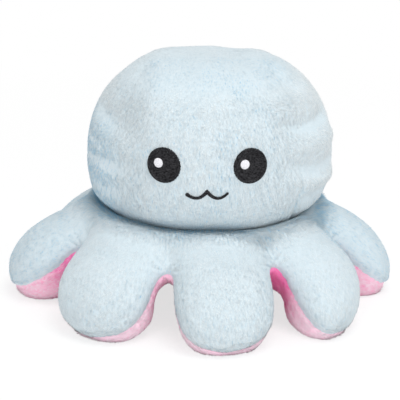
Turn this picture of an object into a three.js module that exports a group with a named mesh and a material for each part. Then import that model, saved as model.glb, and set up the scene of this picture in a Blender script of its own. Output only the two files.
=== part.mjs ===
// A reversible plush octopus, standing on its eight stuffed tentacles with the pale blue side out.
// Millimetres, +Z up, the face looks along -Y. The origin is on the floor under the skirt's centre.
// Every soft piece is a fabric sheet or a filling. Angles turn from -Y towards +X.

import * as THREE from 'three';

// Cloth and clearances
const sheet = 2;                  // plush cloth with its pile
const seamGap = 0.3;              // between two sheets sewn edge to edge
const layGap = 0.7;               // where the head's underside lies on the skirt
const fillGap = 0.9;              // between a sheet and the filling behind it
const edge = 0.8;                 // least thickness of a sheet that tapers out in a notch

// Head
const headRadius = 74;
const headOffset = 5;             // the head leans to the right of the skirt's centre
const headEquator = 88;           // height of the widest ring
const headRise = 63.5;            // equator up to the crown
const headDrop = 43;              // equator down to where the form would close
const headSquareness = 2.5;       // 2 is round, more is boxier
const neckRadius = 56;            // the head panels are sewn to the skirt here
const crownRadius = 2;            // the front and back panels stop this far from the crown
const sidePanelTip = 30;          // the side panels' upper tips, from the head's axis
const headSeamBearing = THREE.MathUtils.degToRad(117.5);

// Pocket, the second head that is tucked inside and turned out when the toy is flipped
const pocketRadius = 46;
const pocketEquator = 60;
const pocketRise = 50;
const pocketDrop = 50;
const mouthRadius = 43.5;         // the pocket's rim
const pocketPanelTip = 18;

// Skirt
const tentacleCount = 8;
const skirtTurn = THREE.MathUtils.degToRad(6);
const rootDistance = 74.8;        // skirt's centre to the flat where a tentacle begins
const seamAtRoot = 40;            // height of the blue and pink seam at the notches
const seamAtTip = 5.5;
const skirtReach = 117;           // skirt's centre to a tentacle's tip
const reachShares = [0.99, 1, 0.99, 0.98, 0.99, 0.98, 0.99, 0.95];
const fullnessShares = [1, 1, 0.93, 0.85, 0.85, 0.85, 0.97, 1];
const swayShares = [-0.01, -0.13, -0.03, 0, 0, 0, -0.09, 0];
const rootHalfWidth = 28.6;
const bellyHalfWidth = 28.9;      // a tentacle swells to this past its root
const topAtRoot = 18.5;           // the blue side's height over the seam
const topFullness = 21;
const soleAtRoot = 22;            // the pink side's depth under the seam
const soleFullness = 26.5;
const straightShare = 1 / 3;      // of a tentacle's length, before it tapers
const settledShare = 1 / 2;       // of its length, where its thickness and tilt have settled
const outlineBluntness = 2.6;     // of the tip seen from above, 2 is an ellipse
const sideBluntness = 2;          // of the tip seen from the side
const creaseRadius = 62;          // the valleys between the tentacles fade out here on the blue side
const underCreaseRadius = 50;     // and here on the pink side
const skirtCrest = 62;            // height of the skirt's shoulder
const shoulderDistance = 66;      // skirt's centre to that shoulder
const fillCorner = 77;            // the ring's filling is cut back to this radius in the notches

// Face
const faceCentre = 4.1;
const eyeSpread = 24.8;           // face's middle to an eye's middle
const eyeHeight = 101.5;
const eyeRadius = 10.2;
const glintRadius = 2.9;
const glintSide = 3.1;            // glint's middle, to the left of the eye's middle
const glintRaise = 1.2;
const mouthHalfWidth = 12.3;
const mouthPeak = 86.9;           // heights of the mouth's middle, low points and ends
const mouthLow = 82.5;
const mouthEnd = 84.9;
const threadWidth = 1.6;
const threadDepth = 0.6;          // how thick the embroidery stands

// Counts
const panelColumns = 10;
const panelRows = 10;             // from the neck up to the side panels' tips
const crownRows = 2;              // from there to the crown
const pocketColumns = 6;
const pocketRows = 6;
const ringColumnsPerTentacle = 6;
const ringRows = 4;
const rimRows = 2;
const domeColumns = 32;
const domeRows = 11;
const tentacleRows = 6;
const tentacleColumns = 8;
const eyeSides = 20;
const eyeRings = 2;
const mouthSteps = 14;

const sectorAngle = 2 * Math.PI / tentacleCount;
const plushBlue = { color: 0xd3e2e9, roughness: 0.95, metalness: 0 };
const plushPink = { color: 0xe290b8, roughness: 0.95, metalness: 0 };
const blackThread = { color: 0x262626, roughness: 0.6, metalness: 0 };
const whiteThread = { color: 0xf4f4f6, roughness: 0.6, metalness: 0 };
const whiteFibre = { color: 0xf3f1ec, roughness: 1, metalness: 0 };

const toy = new THREE.Group();

// Turning points into solids

function lerp(a, b, share) {
  return a + (b - a) * share;
}

function shares(steps) {
  return Array.from({ length: steps + 1 }, (_, i) => i / steps);
}

function smooth(value) {
  const t = THREE.MathUtils.clamp(value, 0, 1);
  return t * t * (3 - 2 * t);
}

// A grid is a list of rows of points, laid out by a function of two shares from 0 to 1.
function grid(rows, columns, place) {
  return shares(rows).map((v) => shares(columns).map((u) => place(v, u)));
}

function addTriangle(triangles, a, b, c) {
  const area = new THREE.Triangle(a, b, c).getArea();
  if (area > 0) triangles.push(a, b, c);
}

function addQuad(triangles, a, b, c, d) {
  addTriangle(triangles, a, b, c);
  addTriangle(triangles, a, c, d);
}

function addSurface(triangles, points, flipped) {
  for (let i = 0; i + 1 < points.length; i += 1) {
    for (let j = 0; j + 1 < points[i].length; j += 1) {
      const [a, b] = [points[i][j], points[i][j + 1]];
      const [d, c] = [points[i + 1][j], points[i + 1][j + 1]];
      if (flipped) addQuad(triangles, a, d, c, b);
      else addQuad(triangles, a, b, c, d);
    }
  }
}

function addRim(triangles, outerEdge, innerEdge) {
  for (let i = 0; i + 1 < outerEdge.length; i += 1) {
    addQuad(triangles, outerEdge[i + 1], outerEdge[i], innerEdge[i], innerEdge[i + 1]);
  }
}

function weld(triangles) {
  const seen = new Map();
  const positions = [];
  const index = [];
  for (const point of triangles) {
    const key = point.toArray().map((value) => value.toFixed(5)).join(' ');
    if (!seen.has(key)) {
      seen.set(key, positions.length / 3);
      positions.push(point.x, point.y, point.z);
    }
    index.push(seen.get(key));
  }
  const geometry = new THREE.BufferGeometry();
  geometry.setAttribute('position', new THREE.Float32BufferAttribute(positions, 3));
  geometry.setIndex(index);
  return geometry;
}

function signedVolume(triangles) {
  let volume = 0;
  for (let i = 0; i < triangles.length; i += 3) {
    const [a, b, c] = triangles.slice(i, i + 3);
    volume += a.dot(new THREE.Vector3().crossVectors(b, c));
  }
  return volume;
}

function faceOutwards(triangles) {
  if (signedVolume(triangles) > 0) return triangles;
  const turned = [];
  for (let i = 0; i < triangles.length; i += 3) {
    turned.push(triangles[i], triangles[i + 2], triangles[i + 1]);
  }
  return turned;
}

// Two facing grids and the rims between them make one closed body. A closed ring has no side rims.
function closeGrids(outer, inner, isRing = false) {
  const triangles = [];
  addSurface(triangles, outer, false);
  addSurface(triangles, inner, true);
  const last = outer.length - 1;
  addRim(triangles, outer[0], inner[0]);
  addRim(triangles, [...outer[last]].reverse(), [...inner[last]].reverse());
  if (!isRing) {
    const end = outer[0].length - 1;
    addRim(triangles, outer.map((row) => row[0]).reverse(), inner.map((row) => row[0]).reverse());
    addRim(triangles, outer.map((row) => row[end]), inner.map((row) => row[end]));
  }
  return weld(faceOutwards(triangles));
}

function addPiece(name, geometry, finish) {
  geometry.computeVertexNormals();
  const mesh = new THREE.Mesh(geometry, new THREE.MeshStandardMaterial(finish));
  mesh.name = name;
  toy.add(mesh);
  return mesh;
}

// Head and pocket: upright domes, each described by its radius and heights

const headDome = {
  radius: headRadius, equator: headEquator, rise: headRise, drop: headDrop,
  tip: sidePanelTip, rim: neckRadius,
};
const pocketDome = {
  radius: pocketRadius, equator: pocketEquator, rise: pocketRise, drop: pocketDrop,
  tip: pocketPanelTip, rim: mouthRadius,
};

function swelling(share) {
  return Math.pow(Math.max(0, 1 - Math.pow(Math.abs(share), headSquareness)), 1 / headSquareness);
}

// The dome's radius and height at an angle over the equator, inset from its surface.
function domeSection(dome, angle, inset) {
  const power = 2 / headSquareness;
  const reach = Math.pow(Math.abs(Math.cos(angle)), power) * (dome.radius - inset);
  const half = angle > 0 ? dome.rise : dome.drop;
  const lift = Math.sign(angle) * Math.pow(Math.abs(Math.sin(angle)), power) * (half - inset);
  return [reach, dome.equator + lift];
}

// The angle at which the dome has shrunk to a radius, above the equator.
function angleAtRadius(dome, radius) {
  return Math.acos(Math.pow(radius / dome.radius, headSquareness / 2));
}

// Bearing of the seam between the front and side panels where the dome has this radius.
// All four seams lie in upright planes that pass through the side panels' tips.
function seamBearing(dome, radius) {
  const planeDistance = dome.tip * Math.sin(headSeamBearing);
  if (radius <= dome.tip) return Math.PI / 2;
  return headSeamBearing - Math.acos(planeDistance / radius);
}

function domePoint(bearing, radius, height) {
  const x = headOffset + radius * Math.sin(bearing);
  return new THREE.Vector3(x, -radius * Math.cos(bearing), height);
}

// Angles over the equator of a panel's rows, from the rim to the side panels' tips or the crown.
function rowAngles(dome, rows, toCrown) {
  const tip = angleAtRadius(dome, dome.tip);
  const lower = shares(rows).map((v) => lerp(-angleAtRadius(dome, dome.rim), tip, v));
  if (!toCrown) return lower;
  const upper = shares(crownRows).slice(1);
  return [...lower, ...upper.map((v) => lerp(tip, angleAtRadius(dome, crownRadius), v))];
}

// A panel of a dome spans a bearing on each side of its middle, less half the seam's gap.
function domePanel(dome, turn, depth, angles, columns, halfSpan) {
  const surface = (inset) => angles.map((angle) => {
    const [radius, height] = domeSection(dome, angle, inset);
    const [facing] = domeSection(dome, angle, 0);
    const half = Math.max(0, halfSpan(facing) - seamGap / 2 / radius);
    return shares(columns).map((u) => domePoint(turn + lerp(-half, half, u), radius, height));
  });
  return closeGrids(surface(0), surface(depth));
}

function addDomePanels(prefix, dome, depth, rows, columns, finish) {
  const quarter = Math.PI / 2;
  const wide = (radius) => seamBearing(dome, radius);
  const narrow = (radius) => quarter - seamBearing(dome, radius);
  const addPanel = (side, turn, toCrown, span) => {
    const angles = rowAngles(dome, rows, toCrown);
    addPiece(`${prefix}_${side}_panel`, domePanel(dome, turn, depth, angles, columns, span), finish);
  };
  addPanel('front', 0, true, wide);
  addPanel('right', quarter, false, narrow);
  addPanel('back', 2 * quarter, true, wide);
  addPanel('left', -quarter, false, narrow);
}

// The pocket's cloth is thickened away from the hollow, so its depth is negative.
addDomePanels('head', headDome, sheet, panelRows, panelColumns, plushBlue);
addDomePanels('pocket', pocketDome, -sheet, pocketRows, pocketColumns, plushPink);

// Skirt: the ring under the head and the roots of the tentacles

function tentacleBearing(k) {
  return skirtTurn + k * sectorAngle;
}

// Distance out along the nearest tentacle's middle line, and the share across its sector.
function sectorPlace(x, y) {
  const radius = Math.hypot(x, y);
  const bearing = Math.atan2(x, -y) - skirtTurn;
  const across = bearing - Math.round(bearing / sectorAngle) * sectorAngle;
  const out = radius * Math.cos(across);
  const share = radius * Math.sin(across) / (out * Math.tan(sectorAngle / 2));
  return [out, share];
}

function roundness(share) {
  return Math.sqrt(Math.max(0, 1 - share * share));
}

function valleyDepth(out, start) {
  return smooth((out - start) / (rootDistance - start));
}

function headUnderside(x, y) {
  const share = Math.hypot(x - headOffset, y) / headRadius;
  return headEquator - headDrop * swelling(share);
}

function rootShare(share) {
  return share * rootDistance * Math.tan(sectorAngle / 2) / rootHalfWidth;
}

function skirtTop(x, y) {
  const [out, share] = sectorPlace(x, y);
  const fall = skirtCrest - seamAtRoot - topAtRoot - seamGap / 2;
  const beyond = Math.max(0, out - shoulderDistance) / (rootDistance - shoulderDistance);
  const crest = skirtCrest - fall * beyond * beyond;
  const notch = seamAtRoot + seamGap / 2;
  const valley = valleyDepth(out, creaseRadius) * (1 - roundness(rootShare(share)));
  const open = lerp(crest, notch, valley);
  return Math.max(Math.min(open, headUnderside(x, y) - layGap), notch + edge);
}

// The skirt's pink side starts just under the pocket's rim.
function rimHeight() {
  const angle = -angleAtRadius(pocketDome, mouthRadius);
  return domeSection(pocketDome, angle, -sheet)[1] - sheet - 2 * seamGap;
}

// Share of the way from the pocket's rim out to the flats of the roots.
function rimShare(x, y) {
  const rim = mouthRadius + headOffset * Math.sin(Math.atan2(x, -y));
  const [out] = sectorPlace(x, y);
  const radius = Math.hypot(x, y);
  return (radius - rim) / (rootDistance * radius / out - rim);
}

function skirtUnderside(x, y) {
  const [out, share] = sectorPlace(x, y);
  const notch = seamAtRoot - seamGap / 2;
  const beyond = smooth(rimShare(x, y));
  const belly = lerp(rimHeight(), notch - soleAtRoot, beyond);
  const valley = valleyDepth(out, underCreaseRadius) * (1 - roundness(rootShare(share)));
  return Math.min(lerp(belly, notch, valley), notch - edge);
}

// A row of the ring: its share of the way from a circle round the head's axis to the roots' flats.
function ringRow(innerRadius, v, height) {
  const columns = tentacleCount * ringColumnsPerTentacle;
  return shares(columns).map((u) => {
    const bearing = skirtTurn + (u * tentacleCount - 1 / 2) * sectorAngle;
    const across = (u * tentacleCount) % 1 - 1 / 2;
    const outer = (rootDistance - seamGap / 2) / Math.cos(across * sectorAngle);
    const side = headOffset + innerRadius * Math.sin(bearing);
    const x = lerp(side, outer * Math.sin(bearing), v);
    const y = lerp(-innerRadius * Math.cos(bearing), -outer * Math.cos(bearing), v);
    return new THREE.Vector3(x, y, height(x, y));
  });
}

function ringSurface(height) {
  return shares(ringRows).map((v) => ringRow(neckRadius + seamGap, v, height));
}

// Rows between the pocket's rim and the ring's own first row.
function rimSurface(height) {
  const inside = shares(rimRows).slice(0, -1);
  return inside.map((v) => ringRow(lerp(mouthRadius, neckRadius, v), 0, height));
}

// The filling stops short of the notches' points and thins towards the tentacles.
function drawnIn(rows, thinning) {
  const [before, last] = rows.slice(-2);
  const pulled = last.map((point, j) => {
    const start = Math.hypot(before[j].x, before[j].y);
    const end = Math.hypot(point.x, point.y);
    const share = Math.min(1, (fillCorner - start) / (end - start));
    const height = lerp(before[j].z, point.z, share) + thinning * share;
    return before[j].clone().lerp(point, share).setZ(height);
  });
  return [...rows.slice(0, -1), pulled];
}

function addSkirtRing() {
  const topUnder = (x, y) => Math.max(skirtTop(x, y) - sheet, seamAtRoot + seamGap / 2);
  const soleOver = (x, y) => Math.min(skirtUnderside(x, y) + sheet, seamAtRoot - seamGap / 2);
  const fillTop = (x, y) => skirtTop(x, y) - sheet - fillGap;
  const fillUnder = (x, y) => skirtUnderside(x, y) + sheet + fillGap;
  const pinkSurface = (height) => [...rimSurface(height), ...ringSurface(height)];
  const top = closeGrids(ringSurface(skirtTop), ringSurface(topUnder), true);
  const under = closeGrids(pinkSurface(soleOver), pinkSurface(skirtUnderside), true);
  const upper = drawnIn(ringSurface(fillTop), -fillGap - layGap);
  const lower = drawnIn(ringSurface(fillUnder), fillGap + layGap);
  const filling = closeGrids(upper, lower, true);
  addPiece('skirt_top_ring', top, plushBlue);
  addPiece('skirt_under_ring', under, plushPink);
  addPiece('skirt_ring_stuffing', filling, whiteFibre);
}

addSkirtRing();

// The head's filling fills the space between the two domes and runs down through the neck.

function neckRow(radius, height) {
  return shares(domeColumns).map((u) => domePoint(2 * Math.PI * u, radius, height));
}

function sleeveBottom(radius) {
  const places = shares(domeColumns).map((u) => domePoint(2 * Math.PI * u, radius, 0));
  return places.map((p) => p.setZ(skirtUnderside(p.x, p.y) + sheet + 2 * fillGap));
}

function headStuffing() {
  const inset = sheet + fillGap;
  const neckAngle = -angleAtRadius(headDome, neckRadius);
  const rimAngle = -angleAtRadius(pocketDome, mouthRadius);
  const surface = (dome, low, shift) => shares(domeRows - 1).map((v) => {
    const [radius, height] = domeSection(dome, lerp(Math.PI / 2, low, v), shift);
    return neckRow(radius, height);
  });
  const outer = surface(headDome, neckAngle, inset);
  const pocketSide = surface(pocketDome, rimAngle, -inset);
  outer.push(sleeveBottom(neckRadius - fillGap));
  pocketSide.push(sleeveBottom(mouthRadius + inset));
  return closeGrids(outer, pocketSide, true);
}

addPiece('head_stuffing', headStuffing(), whiteFibre);

// Tentacles: a blue top and a pink sole sewn together along the outline, with filling between

function tentacleSpine(k, v) {
  const reach = skirtReach * reachShares[k];
  const out = lerp(rootDistance + seamGap / 2, reach, v);
  const height = lerp(seamAtRoot, seamAtTip, v);
  return [out, skirtReach * swayShares[k] * v * v, height];
}

// How far the tentacle has narrowed, from 1 along its first part to 0 at its tip.
function taper(v, power) {
  const past = Math.max(0, (v - straightShare) / (1 - straightShare));
  return Math.pow(Math.max(0, 1 - Math.pow(past, power)), 1 / power);
}

function halfWidth(v, inset) {
  const swell = lerp(rootHalfWidth, bellyHalfWidth, smooth(v / straightShare));
  return Math.max(0, swell - inset) * taper(v, outlineBluntness);
}

// The tentacle thickens square to its sloping seam, but along the flat at its root.
function thickening(k, v) {
  const [out, , height] = tentacleSpine(k, 1);
  const slope = Math.atan2(seamAtRoot - height, out - rootDistance) * smooth(v / settledShare);
  return [Math.sin(slope), Math.cos(slope)];
}

function tentaclePoint(k, v, u, side, inset) {
  const angle = Math.PI * (1 - u);
  const settled = smooth(v / settledShare);
  const topMiddle = topFullness * fullnessShares[k];
  const [atRoot, fullness] = side > 0 ? [topAtRoot, topMiddle] : [soleAtRoot, soleFullness];
  const deepest = lerp(atRoot, fullness, settled) - inset;
  const thick = deepest * taper(v, sideBluntness) * Math.sin(angle) + seamGap / 2;
  const [out, sway, height] = tentacleSpine(k, v * (1 - inset / (skirtReach - rootDistance)));
  const [outward, upward] = thickening(k, v);
  const across = halfWidth(v, inset) * Math.cos(angle) + sway;
  const along = out + side * thick * outward;
  const bearing = tentacleBearing(k);
  const x = along * Math.sin(bearing) + across * Math.cos(bearing);
  const y = -along * Math.cos(bearing) + across * Math.sin(bearing);
  return new THREE.Vector3(x, y, Math.max(height + side * thick * upward, inset));
}

// Steps get shorter towards the blunt tip.
function tentacleSurface(k, side, inset) {
  return grid(tentacleRows, tentacleColumns, (v, u) => {
    const along = Math.sin(v * Math.PI / 2);
    return tentaclePoint(k, along, u, side, inset);
  });
}

function addTentacle(k) {
  const name = `tentacle_${k + 1}`;
  const inset = sheet + fillGap;
  const top = closeGrids(tentacleSurface(k, 1, 0), tentacleSurface(k, 1, sheet));
  const sole = closeGrids(tentacleSurface(k, -1, 0), tentacleSurface(k, -1, sheet));
  const filling = closeGrids(tentacleSurface(k, 1, inset), tentacleSurface(k, -1, inset));
  addPiece(`${name}_top`, top, plushBlue);
  addPiece(`${name}_sole`, sole, plushPink);
  addPiece(`${name}_stuffing`, filling, whiteFibre);
}

for (let k = 0; k < tentacleCount; k += 1) addTentacle(k);

// Face: embroidery that lies on the front panel

function onFace(x, z, lift) {
  const half = z > headEquator ? headRise : headDrop;
  const radius = (headRadius + lift) * swelling((z - headEquator) / (half + lift));
  const side = x - headOffset;
  return new THREE.Vector3(x, -Math.sqrt(radius * radius - side * side), z);
}

function disc(x, z, radius, lift) {
  const squeeze = Math.cos(Math.asin((x - headOffset) / headRadius));
  const surface = (height) => grid(eyeRings, eyeSides, (v, u) => {
    const reach = radius * v;
    const turn = 2 * Math.PI * u;
    return onFace(x + reach * Math.cos(turn) * squeeze, z + reach * Math.sin(turn), height);
  });
  return closeGrids(surface(lift + threadDepth), surface(lift), true);
}

function mouthHeightAt(share) {
  const out = Math.abs(share);
  const low = 1 / 2;
  if (out < low) return lerp(mouthPeak, mouthLow, Math.sin(Math.PI / 2 * out / low));
  const past = (out - low) / (1 - low);
  return lerp(mouthLow, mouthEnd, past * past);
}

function mouthRibbon() {
  const half = threadWidth / 2;
  const surface = (lift) => grid(mouthSteps, 1, (v, u) => {
    const share = 2 * v - 1;
    const x = faceCentre + mouthHalfWidth * share;
    return onFace(x, mouthHeightAt(share) + lerp(-half, half, u), lift);
  });
  return closeGrids(surface(layGap + threadDepth), surface(layGap));
}

function addEye(side, direction) {
  const x = faceCentre + direction * eyeSpread;
  const glintLift = layGap + threadDepth + seamGap;
  addPiece(`eye_${side}`, disc(x, eyeHeight, eyeRadius, layGap), blackThread);
  const glint = disc(x - glintSide, eyeHeight + glintRaise, glintRadius, glintLift);
  addPiece(`eye_${side}_glint`, glint, whiteThread);
}

addEye('left', -1);
addEye('right', 1);
addPiece('mouth', mouthRibbon(), blackThread);

export default toy;
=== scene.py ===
import math
import time

import bmesh
import bpy
import numpy as np
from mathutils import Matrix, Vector
from mathutils.bvhtree import BVHTree
from mathutils.kdtree import KDTree


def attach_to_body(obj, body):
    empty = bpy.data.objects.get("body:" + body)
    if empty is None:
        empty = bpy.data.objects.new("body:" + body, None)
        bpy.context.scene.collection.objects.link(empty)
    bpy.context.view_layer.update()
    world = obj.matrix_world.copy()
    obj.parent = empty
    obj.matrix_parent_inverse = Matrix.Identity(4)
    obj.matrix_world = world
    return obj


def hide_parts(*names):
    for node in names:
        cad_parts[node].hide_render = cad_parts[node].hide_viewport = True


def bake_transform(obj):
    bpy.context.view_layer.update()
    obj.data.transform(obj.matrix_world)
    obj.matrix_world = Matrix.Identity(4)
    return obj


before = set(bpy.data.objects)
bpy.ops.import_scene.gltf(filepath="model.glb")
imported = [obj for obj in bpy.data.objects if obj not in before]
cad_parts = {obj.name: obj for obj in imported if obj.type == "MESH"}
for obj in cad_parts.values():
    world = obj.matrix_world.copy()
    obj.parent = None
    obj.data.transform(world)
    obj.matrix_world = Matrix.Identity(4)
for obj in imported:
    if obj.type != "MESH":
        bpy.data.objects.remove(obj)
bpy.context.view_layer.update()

# Sizes are in millimetres. Angles turn from -Y, the front, towards +X, the picture's right.
scene = bpy.context.scene
mm = 0.001
started = time.time()


def say(text):
    print(f"{time.time() - started:6.1f} s  {text}", flush=True)


def smooth(t):
    t = np.clip(t, 0, 1)
    return t * t * (3 - 2 * t)


def lerp(a, b, t):
    return a + (b - a) * t


# Soft lumps of about one wavelength, between -1 and 1.
def noise(points, wavelength, seed, waves=7):
    rng = np.random.default_rng(seed)
    directions = rng.normal(size=(waves, 3))
    directions /= np.linalg.norm(directions, axis=1)[:, None]
    pitch = 2 * math.pi / (wavelength * rng.uniform(0.7, 1.4, waves))
    phase = rng.uniform(0, 2 * math.pi, waves)
    return np.sin(points @ (directions * pitch[:, None]).T + phase).sum(1) / math.sqrt(waves * 2)


# Meshes, with points in millimetres


# Loops of points joined in a row, with a fan over each end.
def closedTube(loops):
    count = len(loops[0])
    points = [*loops, loops[0].mean(0)[None], loops[-1].mean(0)[None]]
    faces = []
    for i in range(len(loops) - 1):
        for j in range(count):
            a, b = i * count + j, i * count + (j + 1) % count
            faces.append((a, b, b + count, a + count))
    first, last = len(loops) * count, len(loops) * count + 1
    for j in range(count):
        a, b = j, (j + 1) % count
        shift = (len(loops) - 1) * count
        faces.append((first, b, a))
        faces.append((last, a + shift, b + shift))
    return np.concatenate(points), faces


# Loops of points joined in a row, and the last one to the first.
def closedRing(loops):
    count, rows = len(loops[0]), len(loops)
    faces = []
    for i in range(rows):
        for j in range(count):
            a, b = i * count + j, i * count + (j + 1) % count
            c, d = (i + 1) % rows * count + (j + 1) % count, (i + 1) % rows * count + j
            faces.append((a, b, c, d))
    return np.concatenate(loops), faces


def together(parts):
    points, faces, start = [], [], 0
    for p, f in parts:
        points.append(p)
        faces += [tuple(i + start for i in face) for face in f]
        start += len(p)
    return np.concatenate(points), faces


def newMesh(name, points, faces):
    mesh = bpy.data.meshes.new(name)
    mesh.from_pydata((np.asarray(points) * mm).tolist(), [], [list(map(int, f)) for f in faces])
    mesh.update()
    return mesh


def newObject(name, points, faces):
    obj = bpy.data.objects.new(name, newMesh(name, points, faces))
    scene.collection.objects.link(obj)
    return obj


def smoothShaded(obj):
    obj.data.polygons.foreach_set("use_smooth", np.ones(len(obj.data.polygons), bool))


def discard(obj):
    mesh = obj.data
    bpy.data.objects.remove(obj)
    bpy.data.meshes.remove(mesh)


def meshPoints(mesh):
    co = np.zeros(len(mesh.vertices) * 3)
    mesh.vertices.foreach_get("co", co)
    return co.reshape(-1, 3) / mm


# Points, faces and face marks of an object with its modifiers.
def evaluated(obj):
    seen = obj.evaluated_get(bpy.context.evaluated_depsgraph_get())
    mesh = seen.to_mesh()
    points = meshPoints(mesh)
    faces = [tuple(p.vertices) for p in mesh.polygons]
    marks = np.array([p.material_index for p in mesh.polygons])
    seen.to_mesh_clear()
    return points, faces, marks


def remeshed(points, faces, voxel):
    obj = newObject("remesh", points, faces)
    step = obj.modifiers.new("Remesh", "REMESH")
    step.mode = "VOXEL"
    step.voxel_size = voxel * mm
    points, faces, _ = evaluated(obj)
    discard(obj)
    return points, faces


def subdivided(points, faces, label):
    obj = newObject("subdivide", points, faces)
    obj.data.polygons.foreach_set("material_index", np.asarray(label, np.int32))
    step = obj.modifiers.new("Subdivision", "SUBSURF")
    step.levels = 1
    points, faces, label = evaluated(obj)
    discard(obj)
    return points, faces, label


def edgesOf(faces):
    pairs = set()
    for f in faces:
        for a, b in zip(f, f[1:] + f[:1]):
            pairs.add((a, b) if a < b else (b, a))
    return np.array(sorted(pairs))


# Moves each point halfway to the middle of its neighbours, in rounds.
def relaxed(points, edges, rounds):
    degree = np.bincount(edges.ravel(), minlength=len(points))[:, None]
    for _ in range(rounds):
        total = np.zeros_like(points)
        np.add.at(total, edges[:, 0], points[edges[:, 1]])
        np.add.at(total, edges[:, 1], points[edges[:, 0]])
        points = points + (total / np.maximum(degree, 1) - points) * 0.5
    return points


# Unit normals at the points, by area.
def facing(points, faces):
    normals = np.zeros_like(points)
    for count in {len(f) for f in faces}:
        some = np.array([f for f in faces if len(f) == count])
        corners = points[some]
        side = np.cross(corners[:, 2] - corners[:, 0], corners[:, -1] - corners[:, 1])
        for i in range(count):
            np.add.at(normals, some[:, i], side)
    return normals / np.maximum(np.linalg.norm(normals, axis=1), 1e-9)[:, None]


def middles(points, faces):
    return np.array([points[list(f)].mean(0) for f in faces])


# The points, sorted so that the nearest one is found quickly.
def treeOf(points):
    tree = KDTree(len(points))
    for i, p in enumerate(points):
        tree.insert(p, i)
    tree.balance()
    return tree


# 1 at the nearest of the other points, falling smoothly to 0 at the reach.
def nearness(points, others, reach):
    tree = treeOf(others)
    return smooth(1 - np.array([tree.find(p)[2] for p in points]) / reach)


def toBmesh(points, faces):
    bm = bmesh.new()
    verts = [bm.verts.new(p) for p in points]
    for f in faces:
        bm.faces.new([verts[i] for i in f])
    return bm


def fromBmesh(bm):
    bmesh.ops.triangulate(bm, faces=[f for f in bm.faces if len(f.verts) > 4])
    bm.verts.index_update()
    points = np.array([v.co for v in bm.verts])
    faces = [tuple(v.index for v in f.verts) for f in bm.faces]
    bm.free()
    return points, faces


snap = 0.33                  # share of a voxel within which points are drawn to a cut


# Adds an edge line where a plane crosses the chosen faces. Points near the plane are drawn to it.
def cut(bm, choose, place, normal, near):
    bm.faces.ensure_lookup_table()
    middle = np.array([f.calc_center_median() for f in bm.faces])
    some = [bm.faces[i] for i in np.nonzero(choose(*middle.T))[0]]
    place, normal = Vector(place), Vector(normal).normalized()
    verts = {v for f in some for v in f.verts}
    for v in verts:
        height = (v.co - place).dot(normal)
        if abs(height) < near:
            v.co -= height * normal
    geometry = [*some, *{e for f in some for e in f.edges}, *verts]
    bmesh.ops.bisect_plane(bm, geom=geometry, dist=0.001, plane_co=place, plane_no=normal)


# Points on the edges between faces whose labels make a true pair.
def seamPoints(points, faces, label, pairs):
    owner = {}
    found = set()
    for f, mark in zip(faces, label):
        for a, b in zip(f, f[1:] + f[:1]):
            key = (a, b) if a < b else (b, a)
            if key in owner and pairs(owner[key], mark):
                found.update(key)
            owner[key] = mark
    return np.array(sorted(found))


def chosenFaces(faces, label, mark):
    return [f for f, m in zip(faces, label) if m == mark]


def onLabel(faces, label, mark):
    return np.unique([i for f, m in zip(faces, label) if m == mark for i in f])


# Cloth


# The mesh blown up as cloth. Pinned points stay, and the cloth shrinks where it is gathered.
def inflated(points, faces, pins, gather, values):
    obj = newObject("inflate", points * values["scale"], faces)
    for name, weights in (("pins", pins), ("gather", gather)):
        group = obj.vertex_groups.new(name=name)
        for level in np.unique(np.round(weights, 2)):
            if level > 0:
                some = np.nonzero(np.round(weights, 2) == level)[0].tolist()
                group.add(some, float(level), "REPLACE")
    step = obj.modifiers.new("Cloth", "CLOTH")
    cloth = step.settings
    cloth.quality = 6
    cloth.mass = values["mass"]
    cloth.tension_stiffness = cloth.compression_stiffness = values["stiffness"]
    cloth.shear_stiffness = values["shear"]
    cloth.bending_stiffness = values["bending"]
    cloth.tension_damping = cloth.compression_damping = cloth.shear_damping = 5
    cloth.air_damping = values["air"]
    cloth.use_pressure = True
    cloth.uniform_pressure_force = values["pressure"]
    cloth.vertex_group_mass = "pins"
    cloth.pin_stiffness = 1
    cloth.vertex_group_shrink = "gather"
    cloth.shrink_min = values["growth"]
    cloth.shrink_max = values["gathering"]
    cloth.effector_weights.gravity = 0
    step.collision_settings.use_collision = False
    step.point_cache.frame_end = values["frames"]
    for number in range(1, values["frames"] + 1):
        scene.frame_set(number)
    blown, _, _ = evaluated(obj)
    discard(obj)
    scene.frame_set(1)
    return blown / values["scale"]


# Shortens a length so that it nears the limit and never passes it.
def eased(length, limit):
    return limit * np.tanh(np.maximum(length, 0) / limit)


# Keeps the blown-up cloth within reach of the shape it came from.
def capped(points, faces, blown, values, slack):
    out = facing(points, faces)
    move = blown - points
    rise = (move * out).sum(1)
    along = move - out * rise[:, None]
    length = np.linalg.norm(along, axis=1)
    along *= np.minimum(1, values["slide"] / np.maximum(length, 1e-6))[:, None]
    rise = np.where(rise > 0, eased(rise, values["swell"]), -eased(-rise, values["sink"]))
    return points + (along + out * rise[:, None]) * slack[:, None]


# Draws the cloth in along a seam. The depth may differ from point to point.
def grooved(points, faces, line, depth, width):
    return points - facing(points, faces) * (nearness(points, line, width) * depth)[:, None]


clothThickness = 1.2


# One sheet of cloth: its face, its back and the edge between them.
def clothPiece(name, points, faces, normals, depth):
    used = np.unique([i for f in faces for i in f])
    place = {old: new for new, old in enumerate(used)}
    outer = [tuple(place[i] for i in f) for f in faces]
    count = len(used)
    inner = [tuple(i + count for i in reversed(f)) for f in outer]
    edges = dict.fromkeys((a, b) for f in outer for a, b in zip(f, f[1:] + f[:1]))
    rim = [(b, a, a + count, b + count) for a, b in edges if (b, a) not in edges]
    both = np.concatenate([points[used], points[used] - normals[used] * depth])
    obj = newObject(name, both, outer + inner + rim)
    smoothShaded(obj)
    turned = np.concatenate([normals[used], -normals[used]])
    obj.data.normals_split_custom_set_from_vertices(turned.tolist())
    return obj


# Head's and pocket's forms

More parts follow.
